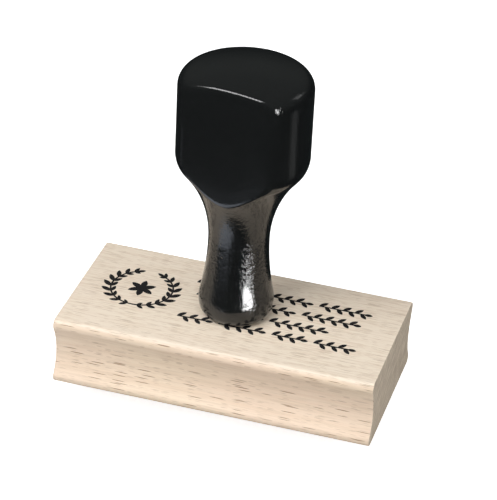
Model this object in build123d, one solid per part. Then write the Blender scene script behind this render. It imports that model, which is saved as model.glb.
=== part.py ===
from build123d import *

import os
from math import atan2, cos, degrees, pi, radians, sin, sqrt, tan

# A wood-handled hand stamp.  Z is up, the printing face of the rubber lies on Z = 0,
# X runs along the block and -Y is the side that faces the user.  Millimetres.

# ---- Mount block: a length of moulded hardwood, cut square at both ends ----
BLOCK_LENGTH = 76.2
BLOCK_WIDTH = 38.1
BLOCK_HEIGHT = 17.2
TOP_BEAD_RADIUS = 1.6
BOTTOM_BEAD_RADIUS = 1.5
COVE_DEPTH = 2.1
COVE_Z = 7.8  # the deepest line of the finger groove, above the block's underside
ARRIS_RADIUS = 0.25  # light sanding of the sawn ends' edges

# ---- Turned handle, heights above the block's top ----
HANDLE_HEIGHT = 63.5
FOOT_RADIUS = 8.75
FOOT_Z = 4.05
FOOT_CURVE = 8.4
FOOT_EDGE_RADIUS = 2.7
NECK_RADIUS = 7.05
NECK_LOWER_CURVE = 66.8
NECK_UPPER_CURVE = 28.2
SHOULDER_CURVE = 5.8
HEAD_RADIUS = 15.25
RIM_RADIUS = 3.4
CROWN_CURVE = 55.0
FLAT_DISTANCE = 10.45  # from the axis to the thumb flat
FLAT_TURN = -7.0  # the handle is screwed on slightly turned
FLAT_EDGE_RADIUS = 0.6

# ---- Flat-head wood screw that holds the handle, driven from below ----
SCREW_LENGTH = 31.75
SCREW_SHANK_RADIUS = 2.08
SCREW_ROOT_RADIUS = 1.5
SCREW_HEAD_RADIUS = 4.1
SCREW_HEAD_ANGLE = 82.0
SCREW_SINK = 0.25  # the head sits this far below the block's underside
SCREW_SLOT_WIDTH = 1.1
SCREW_SLOT_DEPTH = 1.1
THREAD_PITCH = 1.69
THREAD_LENGTH = 20.0
THREAD_ROOT_WIDTH = 0.9
THREAD_CREST_WIDTH = 0.12
THREAD_CREST_RADIUS = 2.05
THREAD_OVERLAP = 0.1  # of the thread's root with the screw's core
SCREW_TIP_RADIUS = 0.1
SCREW_POINT_LENGTH = 3.6
SHANK_CLEARANCE = 0.12
PILOT_CLEARANCE = 0.02  # round the screw's root, in the handle
PILOT_SPARE_DEPTH = 1.5

# ---- Rubber, cushion and the films between them ----
RELIEF_HEIGHT = 1.0
DIE_BASE_THICKNESS = 1.3
FILM_THICKNESS = 0.1
CUSHION_THICKNESS = 3.0
DIE_MARGIN = 1.7  # rubber left round the design
DIE_CORNER_RADIUS = 1.5

# ---- The design: a leaf wreath and four rows of leaf sprigs ----
INK_THICKNESS = 0.05
PRINT_CLEARING = 6.75  # no ink inside this radius, where the handle stands
WREATH_CENTRE = (-23.4, 1.3)
WREATH_RADIUS = 7.35
WREATH_LEAVES = 9  # on each side of each branch
OUTER_LEAF = (2.95, 1.2)  # length and width, before the growth below
INNER_LEAF = (2.3, 0.95)
LEAF_GROWTH = (0.65, 0.4)  # leaf size at a branch's ends, and how much more at its middle
TIP_OVERLAP = 1.5  # of a branch's last leaf with its stem, in stem widths
LEAF_LEAN = 38.0  # between a wreath leaf and its branch, degrees
WREATH_GAP = 24.0  # half of the opening at the top, degrees
STEM_WIDTH = 0.42
ROSETTE_RADIUS = 0.75
ROSETTE_PETALS = 6
ROSETTE_PETAL = (3.4, 1.5)
ROSETTE_TURN = 30.0
ROW_CENTRE_X = 9.4
FIRST_ROW_Y = 8.6
ROW_PITCH = 5.15
LEAF_PITCH = 1.42
LEAF_LENGTH = 2.5
LEAF_WIDTH = 1.05
LEAF_ANGLE = 46.0
FIRST_LEAF_AT = 0.35  # along the stem, in leaf pitches
END_LEAF_LENGTH = 2.0
SPRIG_GAP = 1.3
ROWS = ((7, 10, 8), (8, 6, 9), (7, 9), (5, 7, 5, 6))  # leaves in each sprig

# ---- Heights of the stack ----
DIE_TOP = RELIEF_HEIGHT + DIE_BASE_THICKNESS
CUSHION_BOTTOM = DIE_TOP + FILM_THICKNESS
CUSHION_TOP = CUSHION_BOTTOM + CUSHION_THICKNESS
BLOCK_BOTTOM = CUSHION_TOP + FILM_THICKNESS
BLOCK_TOP = BLOCK_BOTTOM + BLOCK_HEIGHT


def arc(centre, radius, start, end):
    """An arc about centre from angle start to angle end, in degrees."""
    return CenterArc(centre, radius, start, end - start)


def polar(centre, radius, angle):
    """The point at this radius and angle in degrees about centre."""
    turn = radians(angle)
    return (centre[0] + radius * cos(turn), centre[1] + radius * sin(turn))


def direction(start, end):
    """The angle in degrees of the line from start to end."""
    return degrees(atan2(end[1] - start[1], end[0] - start[0]))


# ---- Block ----
def block_side():
    """The moulded side on +Y, from the top face down to the underside, as (Y, Z)."""
    half = BLOCK_WIDTH / 2
    top = (half - TOP_BEAD_RADIUS, BLOCK_HEIGHT - TOP_BEAD_RADIUS)
    bottom = (half - BOTTOM_BEAD_RADIUS, BOTTOM_BEAD_RADIUS)
    coves = []
    for bead, bead_radius in ((top, TOP_BEAD_RADIUS), (bottom, BOTTOM_BEAD_RADIUS)):
        rise = abs(bead[1] - COVE_Z)
        reach = (COVE_DEPTH**2 + rise**2) / (2 * COVE_DEPTH)
        radius = reach - bead_radius
        coves.append(((half - COVE_DEPTH + radius, COVE_Z), radius))
    (upper, upper_radius), (lower, lower_radius) = coves
    leave_top = direction(top, upper)
    meet_bottom = direction(bottom, lower)
    return [
        arc(top, TOP_BEAD_RADIUS, 90, leave_top),
        arc(upper, upper_radius, leave_top + 180, 180),
        arc(lower, lower_radius, 180, meet_bottom + 180),
        arc(bottom, BOTTOM_BEAD_RADIUS, meet_bottom, -90),
    ]


def make_block():
    """Moulded block, bored and countersunk from below for the screw."""
    side = block_side()
    edges = side + [edge.mirror(Plane.YZ) for edge in side]
    top_y = BLOCK_WIDTH / 2 - TOP_BEAD_RADIUS
    bottom_y = BLOCK_WIDTH / 2 - BOTTOM_BEAD_RADIUS
    edges.append(Line((-top_y, BLOCK_HEIGHT), (top_y, BLOCK_HEIGHT)))
    edges.append(Line((-bottom_y, 0), (bottom_y, 0)))
    section = Plane.YZ * make_face(edges)
    block = extrude(section, amount=BLOCK_LENGTH / 2, both=True)
    ends = block.faces().sort_by(Axis.X)
    block = fillet(ends[0].edges() + ends[-1].edges(), ARRIS_RADIUS)

    slope = tan(radians(SCREW_HEAD_ANGLE / 2))
    hole_radius = SCREW_SHANK_RADIUS + SHANK_CLEARANCE
    mouth_radius = SCREW_HEAD_RADIUS + SCREW_SINK * slope
    cone_height = (mouth_radius - hole_radius) / slope
    upright = (Align.CENTER, Align.CENTER, Align.MIN)
    block -= Cylinder(hole_radius, BLOCK_HEIGHT, align=upright)
    block -= Cone(mouth_radius, hole_radius, cone_height, align=upright)
    return Pos(0, 0, BLOCK_BOTTOM) * block


# ---- Handle ----
def handle_profile():
    """Half section of the turned handle, as (radius, height above the block)."""
    foot = (FOOT_RADIUS - FOOT_CURVE, FOOT_Z)
    inner = FOOT_CURVE - FOOT_EDGE_RADIUS
    foot_reach = sqrt(inner**2 - (FOOT_Z - FOOT_EDGE_RADIUS) ** 2)
    foot_edge = (foot[0] + foot_reach, FOOT_EDGE_RADIUS)

    lower_x = NECK_RADIUS + NECK_LOWER_CURVE
    neck_rise = sqrt((FOOT_CURVE + NECK_LOWER_CURVE) ** 2 - (lower_x - foot[0]) ** 2)
    neck_z = FOOT_Z + neck_rise
    lower = (lower_x, neck_z)
    upper = (NECK_RADIUS + NECK_UPPER_CURVE, neck_z)

    shoulder_x = HEAD_RADIUS - SHOULDER_CURVE
    flare = NECK_UPPER_CURVE + SHOULDER_CURVE
    shoulder = (shoulder_x, neck_z + sqrt(flare**2 - (upper[0] - shoulder_x) ** 2))

    crown = (0, HANDLE_HEIGHT - CROWN_CURVE)
    rim_x = HEAD_RADIUS - RIM_RADIUS
    rim = (rim_x, crown[1] + sqrt((CROWN_CURVE - RIM_RADIUS) ** 2 - rim_x**2))

    foot_turn = direction(foot, foot_edge)
    neck_turn = direction(foot, lower)
    flare_turn = direction(shoulder, upper)
    rim_turn = direction(crown, rim)
    return [
        Line((0, 0), (foot_edge[0], 0)),
        arc(foot_edge, FOOT_EDGE_RADIUS, -90, foot_turn),
        arc(foot, FOOT_CURVE, foot_turn, neck_turn),
        arc(lower, NECK_LOWER_CURVE, 180 + neck_turn, 180),
        arc(upper, NECK_UPPER_CURVE, 180, 180 + flare_turn),
        arc(shoulder, SHOULDER_CURVE, flare_turn, 0),
        Line((HEAD_RADIUS, shoulder[1]), (HEAD_RADIUS, rim[1])),
        arc(rim, RIM_RADIUS, 0, rim_turn),
        arc(crown, CROWN_CURVE, rim_turn, 90),
        Line((0, HANDLE_HEIGHT), (0, 0)),
    ]


def make_handle():
    """Turned knob handle with one thumb flat, and a pilot hole for the screw."""
    handle = revolve(Plane.XZ * make_face(handle_profile()), Axis.Z)
    size = 4 * HEAD_RADIUS
    beyond = Pos(0, -FLAT_DISTANCE - size / 2, HANDLE_HEIGHT) * Box(size, size, 2 * HANDLE_HEIGHT)
    handle -= Rot(0, 0, FLAT_TURN) * beyond
    thumb_flat = handle.faces().filter_by(GeomType.PLANE).sort_by(Axis.Y)[0]
    handle = fillet(thumb_flat.edges(), FLAT_EDGE_RADIUS)

    tip = SCREW_SINK + SCREW_LENGTH - BLOCK_HEIGHT
    pilot_radius = SCREW_ROOT_RADIUS + PILOT_CLEARANCE
    upright = (Align.CENTER, Align.CENTER, Align.MIN)
    straight = tip - SCREW_POINT_LENGTH + PILOT_SPARE_DEPTH
    handle -= Cylinder(pilot_radius, straight, align=upright)
    point = Cone(pilot_radius, SCREW_TIP_RADIUS, SCREW_POINT_LENGTH, align=upright)
    handle -= Pos(0, 0, straight) * point
    return Pos(0, 0, BLOCK_TOP) * handle


# ---- Screw ----
def make_screw():
    """Slotted countersunk wood screw, head down, with a helical thread."""
    slope = tan(radians(SCREW_HEAD_ANGLE / 2))
    head_height = (SCREW_HEAD_RADIUS - SCREW_SHANK_RADIUS) / slope
    thread_start = SCREW_LENGTH - SCREW_POINT_LENGTH - THREAD_LENGTH
    point_start = SCREW_LENGTH - SCREW_POINT_LENGTH
    runout = SCREW_SHANK_RADIUS - SCREW_ROOT_RADIUS
    outline = Polyline(
        (0, 0),
        (SCREW_HEAD_RADIUS, 0),
        (SCREW_SHANK_RADIUS, head_height),
        (SCREW_SHANK_RADIUS, thread_start),
        (SCREW_ROOT_RADIUS, thread_start + runout),
        (SCREW_ROOT_RADIUS, point_start),
        (SCREW_TIP_RADIUS, SCREW_LENGTH),
        (0, SCREW_LENGTH),
        close=True,
    )
    screw = revolve(Plane.XZ * make_face(outline), Axis.Z)

    root = SCREW_ROOT_RADIUS - THREAD_OVERLAP
    half_root = THREAD_ROOT_WIDTH / 2
    half_crest = THREAD_CREST_WIDTH / 2
    turn_path = Helix(THREAD_PITCH, THREAD_LENGTH - THREAD_PITCH, root)
    tooth = Plane.XZ * make_face(
        Polyline(
            (root, -half_root),
            (THREAD_CREST_RADIUS, -half_crest),
            (THREAD_CREST_RADIUS, half_crest),
            (root, half_root),
            close=True,
        )
    )
    thread = sweep(tooth, path=turn_path, is_frenet=True)
    screw += Pos(0, 0, thread_start + THREAD_PITCH) * thread
    screw -= Box(3 * SCREW_HEAD_RADIUS, SCREW_SLOT_WIDTH, 2 * SCREW_SLOT_DEPTH)
    return Pos(0, 0, BLOCK_BOTTOM + SCREW_SINK) * screw


# ---- Design ----
def leaf(length, width, at, angle):
    """A pointed leaf that grows from the point at, in the direction of angle."""
    tip = (length, 0)
    edges = [
        ThreePointArc((0, 0), (length / 2, width / 2), tip),
        ThreePointArc(tip, (length / 2, -width / 2), (0, 0)),
    ]
    return Pos(*at) * Rot(0, 0, angle) * make_face(edges)


def sprig(count, start_x, y):
    """A straight stem with leaves on alternate sides and one at its end."""
    length = count * LEAF_PITCH
    shape = Pos(start_x + length / 2, y) * Rectangle(length, STEM_WIDTH)
    for index in range(count):
        side = 1 if index % 2 == 0 else -1
        root = (start_x + (index + FIRST_LEAF_AT) * LEAF_PITCH - STEM_WIDTH, y)
        shape += leaf(LEAF_LENGTH, LEAF_WIDTH, root, side * LEAF_ANGLE)
    return shape + leaf(END_LEAF_LENGTH, LEAF_WIDTH, (start_x + length - STEM_WIDTH, y), 0)


def sprig_width(count):
    return count * LEAF_PITCH - STEM_WIDTH + END_LEAF_LENGTH


def sprig_rows():
    """Four centred rows of sprigs."""
    shapes = []
    for number, counts in enumerate(ROWS):
        widths = [sprig_width(count) for count in counts]
        total = sum(widths) + SPRIG_GAP * (len(counts) - 1)
        x = ROW_CENTRE_X - total / 2
        for count, width in zip(counts, widths):
            shapes.append(sprig(count, x, FIRST_ROW_Y - number * ROW_PITCH))
            x += width + SPRIG_GAP
    return shapes


def wreath():
    """Two leafy branches that rise from the bottom, round a small rosette."""
    shapes = []
    sweep_angle = 180 - WREATH_GAP
    for side in (1, -1):
        ring = Circle(WREATH_RADIUS + STEM_WIDTH / 2) - Circle(WREATH_RADIUS - STEM_WIDTH / 2)
        corner = 2 * WREATH_RADIUS
        keep = Polyline(
            (0, 0),
            (0, -corner),
            (side * corner, -corner),
            (side * corner, corner),
            (side * corner * tan(radians(WREATH_GAP)), corner),
            close=True,
        )
        branch = ring & make_face(keep)
        for index in range(WREATH_LEAVES):
            along = (index + 0.5) / WREATH_LEAVES
            turn = -90 + side * sweep_angle * along
            size = LEAF_GROWTH[0] + LEAF_GROWTH[1] * sin(pi * along)
            root = polar((0, 0), WREATH_RADIUS, turn)
            for (length, width), lean in ((OUTER_LEAF, -LEAF_LEAN), (INNER_LEAF, LEAF_LEAN)):
                branch += leaf(length * size, width * size, root, turn + side * (90 + lean))
        inside_end = sweep_angle - degrees(TIP_OVERLAP * STEM_WIDTH / WREATH_RADIUS)
        tip = polar((0, 0), WREATH_RADIUS, -90 + side * inside_end)
        branch += leaf(*INNER_LEAF, tip, -90 + side * (inside_end + 90))
        shapes.append(branch)
    rosette = Circle(ROSETTE_RADIUS)
    for index in range(ROSETTE_PETALS):
        rosette += leaf(*ROSETTE_PETAL, (0, 0), ROSETTE_TURN + 360 * index / ROSETTE_PETALS)
    shapes.append(rosette)
    return [Pos(*WREATH_CENTRE) * shape for shape in shapes]


def solids_of(shapes):
    return [solid for shape in shapes for solid in shape.solids()]


def make_print(design):
    """The design in ink on the block's top, open where the handle stands."""
    film = [extrude(shape, amount=INK_THICKNESS, dir=(0, 0, 1)) for shape in design]
    foot = Cylinder(PRINT_CLEARING, 1)
    cleared = [shape - foot for shape in film]
    return Pos(0, 0, BLOCK_TOP) * Compound(solids_of(cleared))


def layer(outline, bottom, thickness):
    return extrude(Pos(0, 0, bottom) * outline, amount=thickness, dir=(0, 0, 1))


def main():
    os.makedirs("parts", exist_ok=True)
    design = wreath() + sprig_rows()
    box = Compound([*design]).bounding_box()
    width = box.size.X + 2 * DIE_MARGIN
    depth = box.size.Y + 2 * DIE_MARGIN
    outline = Pos(box.center().X, box.center().Y) * RectangleRounded(width, depth, DIE_CORNER_RADIUS)

    die = layer(outline, RELIEF_HEIGHT, DIE_BASE_THICKNESS)
    for shape in design:
        die += extrude(shape, amount=RELIEF_HEIGHT, dir=(0, 0, 1))

    nodes = {
        "mount_block": make_block(),
        "handle": make_handle(),
        "handle_screw": make_screw(),
        "index_print": make_print(design),
        "rubber_die": die,
        "die_adhesive": layer(outline, DIE_TOP, FILM_THICKNESS),
        "cushion": layer(outline, CUSHION_BOTTOM, CUSHION_THICKNESS),
        "cushion_adhesive": layer(outline, CUSHION_TOP, FILM_THICKNESS),
    }
    for name, shape in nodes.items():
        export_step(shape, f"parts/{name}.step")


main()
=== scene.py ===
import math

import bpy
import numpy as np
from mathutils import Matrix, Vector


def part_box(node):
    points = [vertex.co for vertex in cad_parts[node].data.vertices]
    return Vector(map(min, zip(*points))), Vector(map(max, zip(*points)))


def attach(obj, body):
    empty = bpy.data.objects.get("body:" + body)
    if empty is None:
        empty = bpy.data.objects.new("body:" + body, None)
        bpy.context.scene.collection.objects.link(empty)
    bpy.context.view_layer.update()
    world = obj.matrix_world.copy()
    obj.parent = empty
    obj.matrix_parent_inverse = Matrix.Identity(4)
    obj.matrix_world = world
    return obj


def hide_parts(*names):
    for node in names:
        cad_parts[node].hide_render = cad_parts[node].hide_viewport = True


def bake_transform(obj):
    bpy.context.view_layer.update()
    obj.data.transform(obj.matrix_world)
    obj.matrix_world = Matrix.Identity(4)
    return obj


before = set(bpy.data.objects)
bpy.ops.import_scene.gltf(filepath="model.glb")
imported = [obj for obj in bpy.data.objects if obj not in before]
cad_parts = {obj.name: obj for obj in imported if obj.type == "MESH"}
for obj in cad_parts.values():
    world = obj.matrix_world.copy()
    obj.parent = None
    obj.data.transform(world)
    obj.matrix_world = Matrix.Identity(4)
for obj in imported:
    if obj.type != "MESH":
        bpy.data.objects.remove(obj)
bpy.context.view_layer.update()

# Metres throughout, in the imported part's own frame: +Z up, the printing face on Z = 0,
# X along the block and -Y towards the user.
MM = 0.001
HANDLE_LOW, HANDLE_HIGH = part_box("handle")
CUSHION_LOW, CUSHION_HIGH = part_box("cushion")
BLOCK_TOP = Vector((0, 0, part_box("mount_block")[1].z))

# ---- Turned handle, millimetres above the block's top ----
HANDLE_HEIGHT = (HANDLE_HIGH.z - HANDLE_LOW.z) / MM
HEAD_RADIUS = HANDLE_HIGH.x / MM
FOOT_RADIUS = 8.75
FOOT_Z = 4.05  # where the foot is widest
FOOT_CURVE = 8.4
FOOT_EDGE_RADIUS = 2.7
NECK_RADIUS = 7.05
NECK_LOWER_CURVE = 66.8
NECK_UPPER_CURVE = 28.2
SHOULDER_CURVE = 5.8
RIM_RADIUS = 3.4
CROWN_CURVE = 55.0
PILOT_RADIUS = 1.52  # the screw's pilot hole
PILOT_DEPTH = 16.3
OUTLINE_STEP = 0.42
HANDLE_TURNS = 300

# ---- Thumb flat, in the same millimetres ----
FLAT_DISTANCE = 10.45  # from the handle's axis
FLAT_TURN = math.radians(-7.0)  # from the user's side
FLAT_EDGE_RADIUS = 0.75
FLAT_CORNER_RADIUS = 1.6  # the edge's radius at the upper corner on the -X side
FLAT_CORNER_SIDE = (3, 10)  # it grows to that over these distances towards -X
FLAT_CORNER_Z = (50, 61)  # and over these heights
FLAT_TIP_RADIUS = 0.4  # the edge's radius at the lower tip
FLAT_TIP_Z = (34, 42)  # it grows from that over these heights
FLAT_PILLOW = 0.22  # how much prouder the sanded flat is in its middle than at its edge
FLAT_PILLOW_SUNK = 0.2 * FLAT_PILLOW  # how far its edge lies inside the flat's plane
FLAT_PILLOW_FALL = (6.5, 13.5)  # distances from the middle over which it falls away
FLAT_PILLOW_STRETCH = 0.6  # heights count as this share of widths
FLAT_MIDDLE_Z = 49.0
FLAT_LOWEST_Z = 15.0  # no point below this height is moved
FLAT_REACH = 2.5  # nor any point further than this inside the plane
FLAT_CORE_DROP = 8.0  # the points near the crown move towards the axis this far below its top
CUT_HALVINGS = 26  # steps in the search for where each point stops

# ---- Sponge, millimetres ----
CUSHION_CORNER = 1.5
CUSHION_CORNER_STEPS = 10
CUSHION_BELLY = 0.18
CUSHION_LEVELS = 11

# ---- Growth rings on the block's sawn ends, from level ----
RING_TILT = math.radians(33.5)

# ---- Camera, aimed at the middle of the block's top ----
VIEW_AZIMUTH = math.radians(15.48)
VIEW_ELEVATION = math.radians(32.9)
VIEW_DISTANCE = 0.5774
VIEW_PAN = math.radians(-0.235)
VIEW_TILT = math.radians(1.4)
VIEW_ROLL = math.radians(2.789)
LENS_MM = 178.6

# ---- Stage ----
TABLE_REACH = 4.0
CARD_HEIGHT = 0.0005  # above the table top


def towards(azimuth, elevation):
    """A unit vector that points away from the object; azimuth 0 is the user's side."""
    flat = math.cos(elevation)
    return Vector((math.sin(azimuth) * flat, -math.cos(azimuth) * flat, math.sin(elevation)))


# ---------------------------------------------------------------- stage
def add_camera():
    """The camera, turned a little off its aim so that the object sits where it should."""
    back = towards(VIEW_AZIMUTH, VIEW_ELEVATION)
    right = Vector((math.cos(VIEW_AZIMUTH), math.sin(VIEW_AZIMUTH), 0))
    up = back.cross(right)
    aim = Matrix((right, up, back)).transposed()
    aim @= Matrix.Rotation(VIEW_PAN, 3, "Y")
    aim @= Matrix.Rotation(VIEW_TILT, 3, "X")
    aim @= Matrix.Rotation(VIEW_ROLL, 3, "Z")
    data = bpy.data.cameras.new("camera")
    data.lens = LENS_MM
    data.clip_start = 0.01
    data.clip_end = 20
    camera = bpy.data.objects.new("camera", data)
    place = Matrix.Translation(BLOCK_TOP + VIEW_DISTANCE * back)
    camera.matrix_world = place @ aim.to_4x4()
    bpy.context.scene.collection.objects.link(camera)
    bpy.context.scene.camera = camera


def new_area_light(name, size, power, unseen_by):
    """A rectangular light, left out of the named kinds of ray."""
    data = bpy.data.lights.new(name, "AREA")
    data.shape = "RECTANGLE"
    data.size, data.size_y = size
    data.energy = power
    light = bpy.data.objects.new(name, data)
    for ray in unseen_by:
        setattr(light, "visible_" + ray, False)
    bpy.context.scene.collection.objects.link(light)
    return light


def add_softbox(name, azimuth, elevation, distance, size, power, unseen_by=(), spread=180):
    """A lamp that faces the handle, with its azimuth, elevation and spread in degrees."""
    light = new_area_light(name, size, power, ("camera", *unseen_by))
    light.data.spread = math.radians(spread)
    back = towards(math.radians(azimuth), math.radians(elevation))
    aim = (-back).to_track_quat("-Z", "Y").to_matrix().to_4x4()
    light.matrix_world = Matrix.Translation(BLOCK_TOP + distance * back) @ aim


def add_card(name, azimuth, near, far, width, radiance, colour=(1, 1, 1)):
    """A glowing patch of table top, near to far from the axis, seen only in the lacquer."""
    size = (width, far - near)
    power = radiance * math.pi * width * (far - near)
    card = new_area_light(name, size, power, ("camera", "diffuse", "transmission", "volume_scatter"))
    card.data.color = colour
    turn = math.radians(azimuth)
    middle = towards(turn, 0) * (near + far) / 2 + Vector((0, 0, CARD_HEIGHT))
    facing = Matrix.Rotation(turn, 4, "Z") @ Matrix.Rotation(math.pi, 4, "X")
    card.matrix_world = Matrix.Translation(middle) @ facing


def add_world():
    """Even pale surroundings that light the wood, dim in the lacquer and white behind it all."""
    world = bpy.data.worlds.new("studio")
    world.use_nodes = True
    bpy.context.scene.world = world
    tree = Tree(world.node_tree)
    tree.clear()
    path = tree.add("ShaderNodeLightPath")
    height = tree.axis(tree.add("ShaderNodeTexCoord").outputs["Generated"], "Z")
    wall = tree.smooth(height, 0.05, 0.5)
    low_wall, high_wall = (0.028, 0.034, 0.036), (0.21, 0.225, 0.215)
    mirrored = tree.mix_colour(wall, low_wall, high_wall)
    room, backdrop = (0.93, 0.935, 0.94), (2.4, 2.4, 2.4)
    colour = tree.mix_colour(path.outputs["Is Glossy Ray"], room, mirrored)
    colour = tree.mix_colour(path.outputs["Is Camera Ray"], colour, backdrop)
    shader = tree.add("ShaderNodeBackground")
    tree.link(colour, shader.inputs["Color"])
    shader.inputs["Strength"].default_value = 0.42
    output = tree.add("ShaderNodeOutputWorld")
    tree.link(shader.outputs["Background"], output.inputs["Surface"])


def add_floor(material):
    """A wide pale table top, left out of the lacquer's reflections."""
    mesh = bpy.data.meshes.new("table_top")
    signs = ((-1, -1), (1, -1), (1, 1), (-1, 1))
    corners = [(x * TABLE_REACH, y * TABLE_REACH, 0) for x, y in signs]
    mesh.from_pydata(corners, [], [(0, 1, 2, 3)])
    floor = bpy.data.objects.new("table_top", mesh)
    floor.data.materials.append(material)
    floor.visible_glossy = False
    bpy.context.scene.collection.objects.link(floor)


# ---------------------------------------------------------------- node helpers
class Tree:
    """Short calls for building one node tree."""

    def __init__(self, tree):
        self.tree = tree

    def clear(self):
        self.tree.nodes.clear()

    def add(self, kind, **settings):
        node = self.tree.nodes.new(kind)
        for name, value in settings.items():
            setattr(node, name, value)
        return node

    def link(self, source, socket):
        """Joins a socket, number, vector or colour to an input socket."""
        if isinstance(source, bpy.types.NodeSocket):
            self.tree.links.new(source, socket)
        elif isinstance(source, tuple) and socket.type == "RGBA":
            socket.default_value = (*source, 1.0)
        else:
            socket.default_value = source

    def math(self, operation, first, second=0.0):
        node = self.add("ShaderNodeMath", operation=operation)
        self.link(first, node.inputs[0])
        self.link(second, node.inputs[1])
        return node.outputs["Value"]

    def scale(self, vector, factors):
        node = self.add("ShaderNodeVectorMath", operation="MULTIPLY")
        self.link(vector, node.inputs[0])
        self.link(factors, node.inputs[1])
        return node.outputs["Vector"]

    def shift(self, vector, offset):
        node = self.add("ShaderNodeVectorMath", operation="ADD")
        self.link(vector, node.inputs[0])
        self.link(offset, node.inputs[1])
        return node.outputs["Vector"]

    def along(self, vector, direction):
        """The part of a vector that lies along a direction."""
        node = self.add("ShaderNodeVectorMath", operation="DOT_PRODUCT")
        self.link(vector, node.inputs[0])
        self.link(direction, node.inputs[1])
        return node.outputs["Value"]

    def axis(self, vector, name):
        node = self.add("ShaderNodeSeparateXYZ")
        self.link(vector, node.inputs["Vector"])
        return node.outputs[name]

    def combine(self, x, y, z):
        node = self.add("ShaderNodeCombineXYZ")
        for value, socket in zip((x, y, z), node.inputs):
            self.link(value, socket)
        return node.outputs["Vector"]

    def smooth(self, value, low, high, to_low=0.0, to_high=1.0):
        """Eases from to_low to to_high as value goes from low to high."""
        node = self.add("ShaderNodeMapRange", interpolation_type="SMOOTHSTEP")
        for name, number in (("Value", value), ("From Min", low), ("From Max", high),
                             ("To Min", to_low), ("To Max", to_high)):
            self.link(number, node.inputs[name])
        return node.outputs["Result"]

    def noise(self, vector, scale, detail=2.0, roughness=0.5):
        node = self.add("ShaderNodeTexNoise")
        self.link(vector, node.inputs["Vector"])
        self.link(scale, node.inputs["Scale"])
        self.link(detail, node.inputs["Detail"])
        self.link(roughness, node.inputs["Roughness"])
        return node.outputs["Fac"]

    def cells(self, vector, scale):
        """Distance to the nearest of scattered points, and a random value for that point."""
        node = self.add("ShaderNodeTexVoronoi")
        self.link(vector, node.inputs["Vector"])
        self.link(scale, node.inputs["Scale"])
        return node.outputs["Distance"], self.axis(node.outputs["Color"], "X")

    def mix(self, factor, first, second):
        """A number between first and second."""
        node = self.add("ShaderNodeMix", data_type="FLOAT")
        for socket, value in zip((node.inputs[0], node.inputs[2], node.inputs[3]),
                                 (factor, first, second)):
            self.link(value, socket)
        return node.outputs[0]

    def mix_colour(self, factor, first, second):
        node = self.add("ShaderNodeMix", data_type="RGBA")
        for socket, value in zip((node.inputs[0], node.inputs[6], node.inputs[7]),
                                 (factor, first, second)):
            self.link(value, socket)
        return node.outputs[2]

    def bump(self, height, distance, strength=1.0):
        node = self.add("ShaderNodeBump")
        self.link(height, node.inputs["Height"])
        self.link(distance, node.inputs["Distance"])
        self.link(strength, node.inputs["Strength"])
        return node.outputs["Normal"]

    def group(self, group, **values):
        """Places a shared effect; its inputs are named as its sockets, with underscores."""
        node = self.add("ShaderNodeGroup", node_tree=group)
        for name, value in values.items():
            self.link(value, node.inputs[name.replace("_", " ").capitalize()])
        return node.outputs


def new_group(name, inputs, outputs):
    """An empty node group, its tree, its input sockets by name, and its output node."""
    group = bpy.data.node_groups.new(name, "ShaderNodeTree")
    for socket, kind in inputs:
        group.interface.new_socket(socket, in_out="INPUT", socket_type="NodeSocket" + kind)
    for socket, kind in outputs:
        group.interface.new_socket(socket, in_out="OUTPUT", socket_type="NodeSocket" + kind)
    tree = Tree(group)
    entry = tree.add("NodeGroupInput")
    leave = tree.add("NodeGroupOutput")
    return group, tree, entry.outputs, leave.inputs


# ---------------------------------------------------------------- shared effects
def make_fleck_group():
    """Thin dark spindles along X, as wood rays show on a sawn face."""
    group, tree, given, out = new_group(
        "wood_flecks",
        [("Place", "Vector"), ("Length", "Float"), ("Thickness", "Float"), ("Share", "Float")],
        [("Mask", "Float")],
    )
    x = tree.math("DIVIDE", tree.axis(given["Place"], "X"), given["Length"])
    y = tree.math("DIVIDE", tree.axis(given["Place"], "Y"), given["Thickness"])
    z = tree.axis(given["Place"], "Z")
    distance, chance = tree.cells(tree.combine(x, y, z), 1.0)
    tip, core = 0.36, 0.24
    spindle = tree.smooth(distance, tip, core)
    kept = tree.math("LESS_THAN", chance, given["Share"])
    tree.link(tree.math("MULTIPLY", spindle, kept), out["Mask"])
    return group


def make_mottle_group():
    """Soft clouds and fine speckle, each a value about one half."""
    group, tree, given, out = new_group(
        "mottle",
        [("Place", "Vector"), ("Cloud size", "Float"), ("Speckle size", "Float")],
        [("Cloud", "Float"), ("Speckle", "Float")],
    )
    cloud = tree.noise(given["Place"], tree.math("DIVIDE", 1.0, given["Cloud size"]), 3.0, 0.55)
    speckle = tree.noise(given["Place"], tree.math("DIVIDE", 1.0, given["Speckle size"]), 1.0)
    tree.link(cloud, out["Cloud"])
    tree.link(speckle, out["Speckle"])
    return group


def make_nib_group():
    """Scattered round specks, such as dust caught in a finish or pores in a foam."""
    group, tree, given, out = new_group(
        "nibs",
        [("Place", "Vector"), ("Spacing", "Float"), ("Reach", "Float"), ("Share", "Float")],
        [("Mask", "Float")],
    )
    distance, chance = tree.cells(given["Place"], tree.math("DIVIDE", 1.0, given["Spacing"]))
    nib = tree.smooth(distance, given["Reach"], 0.0)
    kept = tree.math("LESS_THAN", chance, given["Share"])
    tree.link(tree.math("MULTIPLY", nib, kept), out["Mask"])
    return group


# ---------------------------------------------------------------- finishes
def new_material(name):
    """A material, its tree, its Principled inputs, and the place on the piece in millimetres."""
    material = bpy.data.materials.new(name)
    material.use_nodes = True
    tree = Tree(material.node_tree)
    tree.clear()
    shader = tree.add("ShaderNodeBsdfPrincipled")
    output = tree.add("ShaderNodeOutputMaterial")
    tree.link(shader.outputs["BSDF"], output.inputs["Surface"])
    place = tree.scale(tree.add("ShaderNodeTexCoord").outputs["Object"], (1 / MM,) * 3)
    return material, tree, shader.inputs, place


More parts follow.
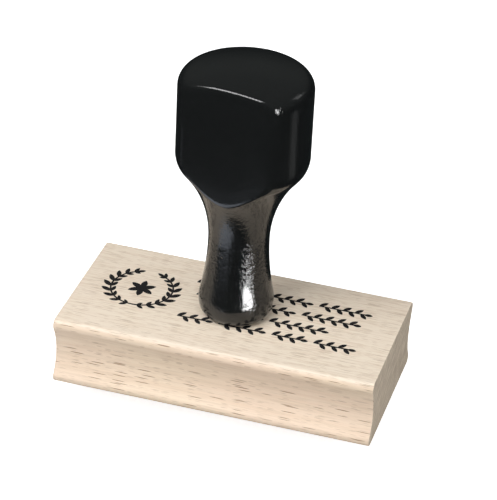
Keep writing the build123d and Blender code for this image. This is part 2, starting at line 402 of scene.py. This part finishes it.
def make_beech(effects):
    """Sanded beech: growth rings, fibres, ray flecks, a darker end grain, and a painted sheen that
    pales the faces looking up.
    """
    material, tree, shader, place = new_material("sanded_beech")
    ring_along = (0, math.cos(RING_TILT), math.sin(RING_TILT))
    ring_across = (0, -math.sin(RING_TILT), math.cos(RING_TILT))
    normal = tree.add("ShaderNodeTexCoord").outputs["Normal"]
    x = tree.axis(place, "X")
    tangent = tree.along(place, ring_along)
    radius = tree.along(place, ring_across)

    # growth rings, seen as soft bands on the long faces
    drift = tree.noise(tree.scale(place, (0.012, 0.08, 0.08)), 1.0, 2.0)
    ring_spacing, ring_wander = 2.3, 5.0
    warped = tree.math("ADD", radius, tree.math("MULTIPLY", drift, ring_wander))
    ring_phase = tree.math("FRACT", tree.math("DIVIDE", warped, ring_spacing))
    ring = tree.smooth(ring_phase, 0.35, 0.97)
    ring_end = tree.smooth(ring_phase, 0.97, 1.0, 1.0, 0.0)
    ring = tree.math("MULTIPLY", ring, ring_end)

    # fibres and paler streaks along the block
    fibre_place = tree.combine(tree.math("MULTIPLY", x, 0.05), tangent, radius)
    fibre = tree.noise(fibre_place, 2.4, 4.0, 0.7)
    streak = tree.noise(tree.combine(tree.math("MULTIPLY", x, 0.03), tangent, radius), 0.9, 2.0)
    tone = tree.noise(tree.scale(place, (0.02, 0.07, 0.07)), 1.0, 2.0)

    # rays, which show as dark spindles where a face crosses the rings
    ray_place = tree.combine(x, tangent, tree.math("MULTIPLY", radius, 0.12))
    bold = tree.group(effects["flecks"], place=ray_place, length=5.8, thickness=0.24, share=0.38)
    fine = tree.group(effects["flecks"], place=tree.shift(ray_place, (31, 7, 3)),
                      length=2.8, thickness=0.20, share=0.5)
    upward = tree.smooth(tree.axis(normal, "Z"), 0.5, 1.0)

    # sawn ends
    sawn = tree.smooth(tree.math("ABSOLUTE", tree.axis(normal, "X")), 0.55, 0.85)
    pore_place = tree.combine(tree.math("MULTIPLY", x, 0.3), tangent, radius)
    pores = tree.group(effects["nibs"], place=pore_place, spacing=0.22, reach=0.42, share=0.7)
    across_rays = tree.combine(0.0, tree.math("MULTIPLY", tangent, 5.0),
                               tree.math("MULTIPLY", radius, 0.35))
    ray_lines = tree.noise(across_rays, 1.0, 2.0)
    across_rings = tree.combine(0.0, tree.math("MULTIPLY", tangent, 0.25),
                                tree.math("MULTIPLY", radius, 1.9))
    ring_lines = tree.noise(across_rings, 1.0, 3.0)

    warm, pink, late_wood = (0.755, 0.615, 0.460), (0.755, 0.585, 0.450), (0.66, 0.495, 0.35)
    pale_streak, painted_sheen_top = (0.82, 0.71, 0.57), (0.80, 0.725, 0.61)
    dark_fibre, fine_fleck, bold_fleck = (0.63, 0.49, 0.36), (0.42, 0.29, 0.19), (0.34, 0.22, 0.135)
    colour = tree.mix_colour(tree.smooth(tone, 0.3, 0.7), warm, pink)
    colour = tree.mix_colour(tree.math("MULTIPLY", ring, 0.30), colour, late_wood)
    colour = tree.mix_colour(tree.smooth(streak, 0.3, 0.75, 0.0, 0.25), colour, pale_streak)
    # painted sheen: faces that look up are mixed towards a paler, less saturated colour
    colour = tree.mix_colour(tree.math("MULTIPLY", upward, 0.6), colour, painted_sheen_top)
    colour = tree.mix_colour(tree.smooth(fibre, 0.45, 0.64, 0.0, 0.55), colour, dark_fibre)
    colour = tree.mix_colour(tree.math("MULTIPLY", fine["Mask"], 0.42), colour, fine_fleck)
    lengthwise = tree.math("ABSOLUTE", tree.along(normal, ring_along))
    crossing = tree.smooth(lengthwise, 0.85, 0.97, 1.0, 0.2)
    depth = tree.math("MULTIPLY", bold["Mask"], tree.mix(upward, 1.0, 0.45))
    depth = tree.math("MULTIPLY", depth, crossing)
    colour = tree.mix_colour(depth, colour, bold_fleck)

    end_light, end_dark = (0.62, 0.53, 0.415), (0.42, 0.335, 0.25)
    end_ray, pore_brown = (0.70, 0.60, 0.47), (0.26, 0.19, 0.13)
    end_colour = tree.mix_colour(tree.smooth(ring_lines, 0.38, 0.62), end_light, end_dark)
    end_colour = tree.mix_colour(tree.smooth(ray_lines, 0.5, 0.75, 0.0, 0.4), end_colour, end_ray)
    end_colour = tree.mix_colour(tree.math("MULTIPLY", pores["Mask"], 0.45), end_colour, pore_brown)
    colour = tree.mix_colour(sawn, colour, end_colour)
    tree.link(colour, shader["Base Color"])

    tree.link(tree.smooth(fibre, 0.2, 0.8, 0.52, 0.68), shader["Roughness"])
    shader["Specular IOR Level"].default_value = 0.35
    relief = tree.math("SUBTRACT", fibre, tree.math("MULTIPLY", bold["Mask"], 0.8))
    relief = tree.math("SUBTRACT", relief, tree.math("MULTIPLY", pores["Mask"], sawn))
    tree.link(tree.bump(relief, 0.03 * MM, 0.7), shader["Normal"])
    return material


def make_lacquer(effects):
    """Gloss black over turned hardwood: orange peel, tool marks on the grip, and dust nibs."""
    material, tree, shader, place = new_material("gloss_black_lacquer")
    mottle = tree.group(effects["mottle"], place=place, cloud_size=9.0, speckle_size=0.42)
    tool_marks = tree.noise(tree.scale(place, (1.7, 1.7, 1.1)), 1.0, 2.0, 0.6)
    nibs = tree.group(effects["nibs"], place=place, spacing=2.4, reach=0.13, share=0.3)
    scuffs = tree.noise(tree.scale(place, (0.8, 0.8, 0.22)), 1.0, 4.0, 0.7)

    deep_black, worn_black = (0.0060, 0.0066, 0.0068), (0.0095, 0.0105, 0.0105)
    dust_grey = (0.05, 0.05, 0.05)
    colour = tree.mix_colour(mottle["Cloud"], deep_black, worn_black)
    colour = tree.mix_colour(tree.math("MULTIPLY", nibs["Mask"], 0.25), colour, dust_grey)
    tree.link(colour, shader["Base Color"])
    tree.link(tree.smooth(scuffs, 0.45, 0.8, 0.06, 0.13), shader["Roughness"])
    shader["Specular IOR Level"].default_value = 0.42
    shader["Coat Weight"].default_value = 0.3
    shader["Coat IOR"].default_value = 1.5
    shader["Coat Roughness"].default_value = 0.05

    peel = tree.math("MULTIPLY", mottle["Speckle"], 0.6)
    neck_top, head_start = 50, 58  # above the printing face
    depth = tree.smooth(tree.axis(place, "Z"), neck_top, head_start, 1.5, 0.5)
    relief = tree.math("ADD", tree.math("MULTIPLY", tool_marks, depth), peel)
    relief = tree.math("ADD", relief, tree.math("MULTIPLY", nibs["Mask"], 1.6))
    tree.link(tree.bump(relief, 0.07 * MM, 1.0), shader["Normal"])
    return material


def make_ink(effects):
    """Matt black printing ink that has sunk a little into the grain."""
    material, tree, shader, place = new_material("printed_ink")
    grain = tree.noise(tree.scale(place, (0.35, 5.0, 5.0)), 1.0, 3.0, 0.6)
    mottle = tree.group(effects["mottle"], place=place, cloud_size=3.0, speckle_size=0.25)
    dense_ink, thin_ink = (0.005, 0.005, 0.006), (0.016, 0.014, 0.013)
    colour = tree.mix_colour(tree.smooth(grain, 0.4, 0.8), dense_ink, thin_ink)
    tree.link(colour, shader["Base Color"])
    tree.link(tree.mix(mottle["Speckle"], 0.55, 0.75), shader["Roughness"])
    shader["Specular IOR Level"].default_value = 0.15
    tree.link(tree.bump(grain, 0.02 * MM, 0.4), shader["Normal"])
    return material


def make_rubber(effects):
    """Moulded red-brown rubber with a dusty skin."""
    material, tree, shader, place = new_material("stamp_rubber")
    mottle = tree.group(effects["mottle"], place=place, cloud_size=6.0, speckle_size=0.35)
    talc = tree.group(effects["nibs"], place=place, spacing=0.9, reach=0.35, share=0.35)
    colour = tree.mix_colour(mottle["Cloud"], (0.27, 0.062, 0.040), (0.36, 0.090, 0.058))
    colour = tree.mix_colour(tree.smooth(mottle["Speckle"], 0.5, 0.8, 0.0, 0.25), colour,
                             (0.46, 0.17, 0.12))
    colour = tree.mix_colour(tree.math("MULTIPLY", talc["Mask"], 0.18), colour, (0.62, 0.42, 0.36))
    tree.link(colour, shader["Base Color"])
    tree.link(tree.mix(mottle["Speckle"], 0.55, 0.8), shader["Roughness"])
    tree.link(tree.bump(mottle["Speckle"], 0.02 * MM, 0.6), shader["Normal"])
    return material


def make_sponge(effects):
    """Grey sponge rubber, its cut edges full of small open cells, coloured dark as painted shade."""
    material, tree, shader, place = new_material("sponge_rubber")
    big = tree.group(effects["nibs"], place=place, spacing=0.55, reach=0.5, share=0.8)
    small = tree.group(effects["nibs"], place=place, spacing=0.24, reach=0.5, share=0.8)
    mottle = tree.group(effects["mottle"], place=place, cloud_size=5.0, speckle_size=0.3)
    holes = tree.math("MAXIMUM", big["Mask"], tree.math("MULTIPLY", small["Mask"], 0.6))
    colour = tree.mix_colour(mottle["Cloud"], (0.24, 0.24, 0.23), (0.34, 0.34, 0.32))
    # painted shade: the open cells are coloured near black, standing in for the shade inside them
    colour = tree.mix_colour(tree.math("MULTIPLY", holes, 0.7), colour, (0.07, 0.07, 0.068))
    tree.link(colour, shader["Base Color"])
    tree.link(tree.mix(mottle["Speckle"], 0.75, 0.95), shader["Roughness"])
    tree.link(tree.bump(tree.math("SUBTRACT", 1.0, holes), 0.12 * MM, 0.9), shader["Normal"])
    return material


def make_film(effects):
    """Amber mounting film."""
    material, tree, shader, place = new_material("mounting_film")
    mottle = tree.group(effects["mottle"], place=place, cloud_size=8.0, speckle_size=0.4)
    specks = tree.group(effects["nibs"], place=place, spacing=1.8, reach=0.2, share=0.4)
    colour = tree.mix_colour(mottle["Cloud"], (0.66, 0.55, 0.31), (0.78, 0.69, 0.46))
    colour = tree.mix_colour(tree.math("MULTIPLY", specks["Mask"], 0.4), colour, (0.35, 0.27, 0.14))
    tree.link(colour, shader["Base Color"])
    tree.link(tree.mix(mottle["Speckle"], 0.25, 0.45), shader["Roughness"])
    tree.link(tree.bump(mottle["Speckle"], 0.01 * MM, 0.4), shader["Normal"])
    return material


def make_zinc(effects):
    """Bright zinc on a steel screw, with turning lines and dull spots."""
    material, tree, shader, place = new_material("zinc_plate")
    lines = tree.noise(tree.scale(place, (0.6, 0.6, 7.0)), 1.0, 3.0, 0.6)
    mottle = tree.group(effects["mottle"], place=place, cloud_size=1.6, speckle_size=0.2)
    spots = tree.group(effects["nibs"], place=place, spacing=0.8, reach=0.35, share=0.3)
    colour = tree.mix_colour(mottle["Cloud"], (0.50, 0.50, 0.48), (0.68, 0.67, 0.62))
    colour = tree.mix_colour(tree.math("MULTIPLY", spots["Mask"], 0.5), colour, (0.30, 0.28, 0.24))
    tree.link(colour, shader["Base Color"])
    shader["Metallic"].default_value = 1.0
    tree.link(tree.smooth(mottle["Speckle"], 0.3, 0.8, 0.22, 0.42), shader["Roughness"])
    tree.link(tree.bump(lines, 0.01 * MM, 0.6), shader["Normal"])
    return material


def make_table_finish(effects):
    """Pale matt board, white to the camera from above and clear from below."""
    material, tree, shader, place = new_material("pale_board")
    mottle = tree.group(effects["mottle"], place=place, cloud_size=120.0, speckle_size=1.5)
    colour = tree.mix_colour(mottle["Cloud"], (0.70, 0.70, 0.70), (0.74, 0.74, 0.74))
    tree.link(colour, shader["Base Color"])
    tree.link(tree.mix(mottle["Speckle"], 0.8, 0.9), shader["Roughness"])
    shader["Specular IOR Level"].default_value = 0.1
    seen = tree.add("ShaderNodeLightPath").outputs["Is Camera Ray"]
    shader["Emission Color"].default_value = (1, 1, 1, 1)
    tree.link(tree.math("MULTIPLY", seen, 0.85), shader["Emission Strength"])
    clear = tree.add("ShaderNodeBsdfTransparent")
    either = tree.add("ShaderNodeMixShader")
    tree.link(tree.add("ShaderNodeNewGeometry").outputs["Backfacing"], either.inputs["Fac"])
    output = next(node for node in tree.tree.nodes if node.type == "OUTPUT_MATERIAL")
    tree.link(output.inputs["Surface"].links[0].from_socket, either.inputs[1])
    tree.link(clear.outputs["BSDF"], either.inputs[2])
    tree.link(either.outputs["Shader"], output.inputs["Surface"])
    return material


# ---------------------------------------------------------------- pieces
def arc_points(centre, radius, start, end):
    """Points along an arc, from angle start to angle end in degrees, without the last."""
    turn = math.radians(end - start)
    count = max(3, math.ceil(abs(turn) * radius / OUTLINE_STEP))
    angles = math.radians(start) + turn * np.arange(count) / count
    return [(centre[0] + radius * math.cos(a), centre[1] + radius * math.sin(a)) for a in angles]


def line_points(start, end):
    """Points along a straight line, without the last."""
    count = max(1, math.ceil(math.dist(start, end) / (2 * OUTLINE_STEP)))
    return [tuple(np.array(start) + (np.array(end) - start) * i / count) for i in range(count)]


def angle_of(start, end):
    """Direction from start to end, in degrees."""
    return math.degrees(math.atan2(end[1] - start[1], end[0] - start[0]))


def handle_outline():
    """Half section of the handle with its pilot hole, as (radius, height) in millimetres."""
    foot = (FOOT_RADIUS - FOOT_CURVE, FOOT_Z)
    inner = FOOT_CURVE - FOOT_EDGE_RADIUS
    foot_edge = (foot[0] + math.sqrt(inner**2 - (FOOT_Z - FOOT_EDGE_RADIUS) ** 2), FOOT_EDGE_RADIUS)
    lower_x = NECK_RADIUS + NECK_LOWER_CURVE
    rise = math.sqrt((FOOT_CURVE + NECK_LOWER_CURVE) ** 2 - (lower_x - foot[0]) ** 2)
    lower = (lower_x, FOOT_Z + rise)
    upper = (NECK_RADIUS + NECK_UPPER_CURVE, lower[1])
    shoulder_x = HEAD_RADIUS - SHOULDER_CURVE
    flare = NECK_UPPER_CURVE + SHOULDER_CURVE
    shoulder = (shoulder_x, upper[1] + math.sqrt(flare**2 - (upper[0] - shoulder_x) ** 2))
    crown = (0, HANDLE_HEIGHT - CROWN_CURVE)
    rim_x = HEAD_RADIUS - RIM_RADIUS
    rim = (rim_x, crown[1] + math.sqrt((CROWN_CURVE - RIM_RADIUS) ** 2 - rim_x**2))

    # each arc ends where the line between two centres meets it
    foot_turn = angle_of(foot, foot_edge)
    neck_turn = angle_of(foot, lower)
    flare_turn = angle_of(shoulder, upper)
    rim_turn = angle_of(crown, rim)
    points = line_points((PILOT_RADIUS, PILOT_DEPTH), (PILOT_RADIUS, 0))
    points += line_points((PILOT_RADIUS, 0), (foot_edge[0], 0))
    points += arc_points(foot_edge, FOOT_EDGE_RADIUS, -90, foot_turn)
    points += arc_points(foot, FOOT_CURVE, foot_turn, neck_turn)
    points += arc_points(lower, NECK_LOWER_CURVE, 180 + neck_turn, 180)
    points += arc_points(upper, NECK_UPPER_CURVE, 180, 180 + flare_turn)
    points += arc_points(shoulder, SHOULDER_CURVE, flare_turn, 0)
    points += line_points((HEAD_RADIUS, shoulder[1]), (HEAD_RADIUS, rim[1]))
    points += arc_points(rim, RIM_RADIUS, 0, rim_turn)
    points += arc_points(crown, CROWN_CURVE, rim_turn, 90)
    return np.array(points)


def distance_outside(points, outline):
    """How far points (radius, height) lie outside a closed half section; inside is negative."""
    start = outline
    end = np.roll(outline, -1, axis=0)
    edge = end - start
    length = np.maximum((edge**2).sum(1), 1e-12)
    nearest = np.full(len(points), 1e9)
    crossings = np.zeros(len(points), int)
    for a, b, d, size in zip(start, end, edge, length):
        share = np.clip(((points - a) @ d) / size, 0, 1)
        gap = points - a - share[:, None] * d
        nearest = np.minimum(nearest, (gap**2).sum(1))
        if a[1] != b[1]:
            spans = (a[1] > points[:, 1]) != (b[1] > points[:, 1])
            meets = a[0] + d[0] * (points[:, 1] - a[1]) / d[1]
            crossings += spans & (points[:, 0] < meets)
    return np.sqrt(nearest) * np.where(crossings % 2 == 1, -1, 1)


def smooth_step(value, low, high):
    """Eases from 0 at low to 1 at high."""
    share = np.clip((value - low) / (high - low), 0, 1)
    return share * share * (3 - 2 * share)


def cut_flat(places, outline):
    """Moves the head's front points in to the thumb flat, with its edge rounded.

    Each point slides towards the axis until it is inside both the turned shape and the plane.
    """
    outside = outline[(outline[:, 0] > PILOT_RADIUS + 1) | (outline[:, 1] > PILOT_DEPTH)]
    solid = np.vstack([[0, 0], outside, [0, HANDLE_HEIGHT]])
    normal = np.array([math.sin(FLAT_TURN), -math.cos(FLAT_TURN), 0])
    side = np.array([math.cos(FLAT_TURN), math.sin(FLAT_TURN), 0])
    beyond = places @ normal - FLAT_DISTANCE
    near = np.where((beyond > -FLAT_REACH) & (places[:, 2] > FLAT_LOWEST_Z))[0]
    outer = places[near]
    core = np.zeros_like(outer)
    core[:, 2] = np.minimum(outer[:, 2], HANDLE_HEIGHT - FLAT_CORE_DROP)
    low = np.zeros(len(near))
    high = np.ones(len(near))
    for _ in range(CUT_HALVINGS):
        middle = (low + high) / 2
        tried = core + (outer - core) * middle[:, None]
        height = tried[:, 2]
        radius = np.hypot(tried[:, 0], tried[:, 1])
        wood = distance_outside(np.column_stack([radius, height]), solid)
        across = tried @ side
        off_middle = np.hypot(across, (height - FLAT_MIDDLE_Z) * FLAT_PILLOW_STRETCH)
        pillow = FLAT_PILLOW * (1 - smooth_step(off_middle, *FLAT_PILLOW_FALL))
        plane = tried @ normal - FLAT_DISTANCE - pillow + FLAT_PILLOW_SUNK
        corner = smooth_step(-across, *FLAT_CORNER_SIDE) * smooth_step(height, *FLAT_CORNER_Z)
        edge = FLAT_EDGE_RADIUS + (FLAT_CORNER_RADIUS - FLAT_EDGE_RADIUS) * corner
        above_tip = smooth_step(height, *FLAT_TIP_Z)
        edge = FLAT_TIP_RADIUS + (edge - FLAT_TIP_RADIUS) * above_tip
        inside = np.hypot(np.maximum(wood + edge, 0), np.maximum(plane + edge, 0)) < edge
        low = np.where(inside, middle, low)
        high = np.where(inside, high, middle)
    places[near] = core + (outer - core) * low[:, None]
    return places


def new_piece(name, vertices, faces, material):
    """A smooth-shaded mesh piece."""
    mesh = bpy.data.meshes.new(name)
    mesh.from_pydata([tuple(v) for v in vertices], [], faces)
    mesh.validate()
    mesh.update()
    piece = bpy.data.objects.new(name, mesh)
    piece.data.materials.append(material)
    bpy.context.scene.collection.objects.link(piece)
    for polygon in mesh.polygons:
        polygon.use_smooth = True
    return piece


def make_handle(material):
    """The turned handle, its flat cut in, with a fine mesh for clean reflections."""
    outline = handle_outline()
    turns = 2 * math.pi * np.arange(HANDLE_TURNS) / HANDLE_TURNS
    rows = len(outline)
    places = np.empty((rows * HANDLE_TURNS, 3))
    places[:, 0] = np.outer(outline[:, 0], np.cos(turns)).ravel()
    places[:, 1] = np.outer(outline[:, 0], np.sin(turns)).ravel()
    places[:, 2] = np.repeat(outline[:, 1], HANDLE_TURNS)
    places = cut_flat(places, outline)
    faces = []
    for row in range(rows - 1):
        here, above = row * HANDLE_TURNS, (row + 1) * HANDLE_TURNS
        for turn in range(HANDLE_TURNS):
            after = (turn + 1) % HANDLE_TURNS
            faces.append((here + turn, here + after, above + after, above + turn))
    top = len(places)
    places = np.vstack([places, [[0, 0, HANDLE_HEIGHT], [0, 0, PILOT_DEPTH]]])
    last = (rows - 1) * HANDLE_TURNS
    for turn in range(HANDLE_TURNS):
        after = (turn + 1) % HANDLE_TURNS
        faces.append((last + turn, last + after, top))
        faces.append((after, turn, top + 1))
    places = places * MM + np.array([0, 0, HANDLE_LOW.z])
    handle = new_piece("turned_handle", places, faces, material)
    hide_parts("handle")
    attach(handle, "mount")


def make_cushion(material):
    """Die-cut sponge pad whose cut edge bellies out a little between its two films."""
    size = (CUSHION_HIGH - CUSHION_LOW) / MM
    middle = (CUSHION_HIGH + CUSHION_LOW) / 2
    half_x, half_y = size.x / 2 - CUSHION_BELLY, size.y / 2 - CUSHION_BELLY
    ring = []
    for centre_x, centre_y, start in ((1, 1, 0), (-1, 1, 90), (-1, -1, 180), (1, -1, 270)):
        for step in range(CUSHION_CORNER_STEPS + 1):
            angle = math.radians(start + 90 * step / CUSHION_CORNER_STEPS)
            outward = (math.cos(angle), math.sin(angle))
            x = (half_x - CUSHION_CORNER) * centre_x + CUSHION_CORNER * outward[0]
            y = (half_y - CUSHION_CORNER) * centre_y + CUSHION_CORNER * outward[1]
            ring.append((x, y, outward))
    vertices, faces = [], []
    for level in range(CUSHION_LEVELS):
        share = level / (CUSHION_LEVELS - 1)
        height = size.z * (share - 0.5)
        bulge = CUSHION_BELLY * (1 - (2 * share - 1) ** 2)
        for x, y, outward in ring:
            vertices.append((x + outward[0] * bulge, y + outward[1] * bulge, height))
    count = len(ring)
    for level in range(CUSHION_LEVELS - 1):
        for index in range(count):
            after = (index + 1) % count
            here, above = level * count, (level + 1) * count
            faces.append((here + index, here + after, above + after, above + index))
    faces.append(tuple(reversed(range(count))))
    faces.append(tuple(range((CUSHION_LEVELS - 1) * count, CUSHION_LEVELS * count)))
    vertices = [Vector(v) * MM + middle for v in vertices]
    pad = new_piece("sponge_cushion", vertices, faces, material)
    for polygon in pad.data.polygons[-2:]:
        polygon.use_smooth = False
    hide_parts("cushion")
    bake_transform(pad)


def finish_nodes(finishes):
    """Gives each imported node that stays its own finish."""
    for node, finish in finishes.items():
        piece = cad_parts[node]
        piece.data.materials.clear()
        piece.data.materials.append(finish)


def add_lights():
    """Lamps that light the wood, and lamps and cards that only the lacquer mirrors."""
    mirrored_only, wood_only = ("diffuse",), ("glossy",)
    add_softbox("key", -34, 54, 0.5, (0.30, 0.20), 1.58)
    add_softbox("edge_lamp", -34, 54, 0.5, (0.30, 0.20), 6.5, mirrored_only)
    add_softbox("front_lamp", 6, 60, 0.26, (0.12, 0.12), 0.115, wood_only)
    add_softbox("fill", 75, 25, 0.6, (0.40, 0.40), 1.0, wood_only)
    add_softbox("corner_lamp", 58, 14, 0.5, (0.17, 0.26), 2.2, mirrored_only)
    add_softbox("back_lamp", 128, 38, 0.5, (0.11, 0.11), 0.04, mirrored_only)
    add_softbox("white_strip", 50, -5.3, 0.067, (0.036, 0.0032), 0.0038, mirrored_only, spread=70)
    sky_blue, pale_blue = (0.82, 0.88, 1.0), (0.85, 0.9, 1.0)
    add_card("blue_card", -42, 0.036, 0.070, 0.056, 1.5, sky_blue)
    add_card("low_card", -31, 0.086, 0.108, 0.060, 0.22, sky_blue)
    add_card("right_card", 104, 0.115, 0.200, 0.030, 0.25)
    add_card("left_card", -58, 0.105, 0.150, 0.040, 0.18, pale_blue)


def main():
    effects = {
        "flecks": make_fleck_group(),
        "mottle": make_mottle_group(),
        "nibs": make_nib_group(),
    }
    beech = make_beech(effects)
    film = make_film(effects)
    finish_nodes({
        "mount_block": beech,
        "handle_screw": make_zinc(effects),
        "index_print": make_ink(effects),
        "rubber_die": make_rubber(effects),
        "die_adhesive": film,
        "cushion_adhesive": film,
    })
    make_handle(make_lacquer(effects))
    make_cushion(make_sponge(effects))

    add_camera()
    add_world()
    add_floor(make_table_finish(effects))
    add_lights()
    scene = bpy.context.scene
    scene.view_settings.view_transform = "Standard"
    scene.view_settings.look = "None"


main()
